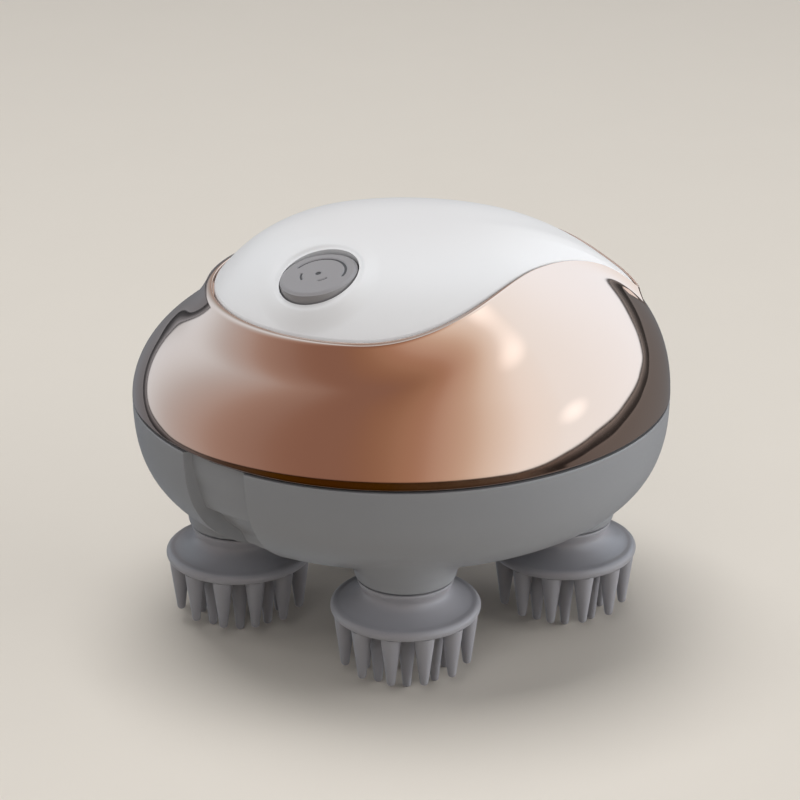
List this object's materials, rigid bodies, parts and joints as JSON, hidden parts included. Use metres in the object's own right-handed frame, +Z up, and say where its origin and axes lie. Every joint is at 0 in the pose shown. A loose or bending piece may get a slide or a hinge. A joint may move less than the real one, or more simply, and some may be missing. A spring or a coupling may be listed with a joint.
{
  "type": "electric scalp massager",
  "caption": "Hand-held electric scalp massager: low domed body with a sloping power button, a rose mirror shell and turning soft pads with fingers below",
  "frame": {"origin": "on the table under the middle of the body, at the tips of the inner fingers", "axes": "+Z up along the turning axes of the heads; +X to the right along the long side of the body; the power button is on the -Y side"},
  "size_m": [0.129, 0.109, 0.102],
  "materials": {
    "cover_white": "smooth white plastic, low gloss",
    "shell_rose": "plated rose-gold mirror finish",
    "shell_grey": "satin grey plastic",
    "button_grey": "satin grey plastic",
    "pad_grey": "soft satin silicone",
    "soft_black": "black silicone",
    "mark_dark": "dark print",
    "board_green": "board with solder mask",
    "black_plastic": "black moulded plastic",
    "light_clear": "milky plastic",
    "gear_nylon": "natural nylon",
    "steel": "turned steel",
    "screw_steel": "zinc-plated steel",
    "brass": "turned brass",
    "cell_wrap": "shrink wrap over a steel cell"
  },
  "bodies": {
    "housing": {"top_cover": "cover_white", "upper_shell": "shell_rose", "lower_shell": "shell_grey", "seam_gasket": "soft_black", "button_membrane": "soft_black", "control_board": "board_green", "board_screws": "screw_steel", "tact_switch": "black_plastic", "status_light": "light_clear", "motor_can": "steel", "motor_terminals": "brass", "motor_screws": "screw_steel", "motor_bracket": "steel", "bracket_screws": "screw_steel", "gear_plate": "gear_nylon", "gear_cover": "gear_nylon", "plate_screws": "screw_steel", "body_screws": "screw_steel", "compound_axle": "steel", "idler_axles": "steel", "shaft_bushes": "brass", "shaft_seals": "soft_black", "battery_cell": "cell_wrap", "battery_holder": "black_plastic", "charge_socket": "steel", "charge_board": "board_green", "charge_screws": "screw_steel"},
    "button": {"power_button": "button_grey", "button_mark": "mark_dark"},
    "sun_train": {"sun_gear": "gear_nylon", "sun_wheel": "gear_nylon", "sun_axle": "steel"},
    "compound": {"compound_gear": "gear_nylon"},
    "left_idler": {"idler_left": "gear_nylon"},
    "right_idler": {"idler_right": "gear_nylon"},
    "rotor": {"motor_rotor": "steel", "motor_pinion": "brass"},
    "plug": {"port_plug": "pad_grey"},
    "head_front": {"output_gear_front": "gear_nylon", "output_shaft_front": "steel", "head_hub_front": "black_plastic", "massage_pad_front": "pad_grey"},
    "head_back": {"output_gear_back": "gear_nylon", "output_shaft_back": "steel", "head_hub_back": "black_plastic", "massage_pad_back": "pad_grey"},
    "head_left": {"output_gear_left": "gear_nylon", "output_shaft_left": "steel", "head_hub_left": "black_plastic", "massage_pad_left": "pad_grey"},
    "head_right": {"output_gear_right": "gear_nylon", "output_shaft_right": "steel", "head_hub_right": "black_plastic", "massage_pad_right": "pad_grey"}
  },
  "joints": [
    {"name": "head_front_spin", "type": "hinge", "parent": "housing", "child": "head_front", "pos_m": [0, -0.03051, 0.03], "axis": [0, 0, 1], "continuous": true},
    {"name": "head_back_spin", "type": "hinge", "parent": "housing", "child": "head_back", "pos_m": [0, 0.03051, 0.03], "axis": [0, 0, 1], "continuous": true},
    {"name": "head_left_spin", "type": "hinge", "parent": "housing", "child": "head_left", "pos_m": [-0.03977, 0, 0.03], "axis": [0, 0, 1], "continuous": true},
    {"name": "head_right_spin", "type": "hinge", "parent": "housing", "child": "head_right", "pos_m": [0.03977, 0, 0.03], "axis": [0, 0, 1], "continuous": true},
    {"name": "sun_train_spin", "type": "hinge", "parent": "housing", "child": "sun_train", "pos_m": [0, 0, 0.048], "axis": [0, 0, 1], "continuous": true},
    {"name": "compound_spin", "type": "hinge", "parent": "housing", "child": "compound", "pos_m": [-0.015, 0, 0.058], "axis": [0, 0, 1], "continuous": true},
    {"name": "left_idler_spin", "type": "hinge", "parent": "housing", "child": "left_idler", "pos_m": [-0.02316, 0.00768, 0.046], "axis": [0, 0, 1], "continuous": true},
    {"name": "right_idler_spin", "type": "hinge", "parent": "housing", "child": "right_idler", "pos_m": [0.02316, -0.00768, 0.046], "axis": [0, 0, 1], "continuous": true},
    {"name": "rotor_spin", "type": "hinge", "parent": "housing", "child": "rotor", "pos_m": [0, 0, 0.075], "axis": [0, 0, 1], "continuous": true},
    {"name": "button_press", "type": "slide", "parent": "housing", "child": "button", "axis": [0.2068, 0.2296, -0.9511], "range_m": [0, 0.0006], "stiffness_N_per_m": 4000},
    {"name": "plug_pull", "type": "slide", "parent": "housing", "child": "plug", "axis": [-0.6055, 0.7959, 0], "range_m": [0, 0.006]}
  ],
  "couplings": [
    {"joint": "head_back_spin", "follows": "head_front_spin", "ratio": 1},
    {"joint": "head_left_spin", "follows": "head_front_spin", "ratio": -1},
    {"joint": "head_right_spin", "follows": "head_front_spin", "ratio": -1},
    {"joint": "sun_train_spin", "follows": "head_front_spin", "ratio": -0.66667},
    {"joint": "left_idler_spin", "follows": "head_front_spin", "ratio": 2},
    {"joint": "right_idler_spin", "follows": "head_front_spin", "ratio": 2},
    {"joint": "compound_spin", "follows": "head_front_spin", "ratio": 3.3333},
    {"joint": "rotor_spin", "follows": "head_front_spin", "ratio": -16.667}
  ]
}
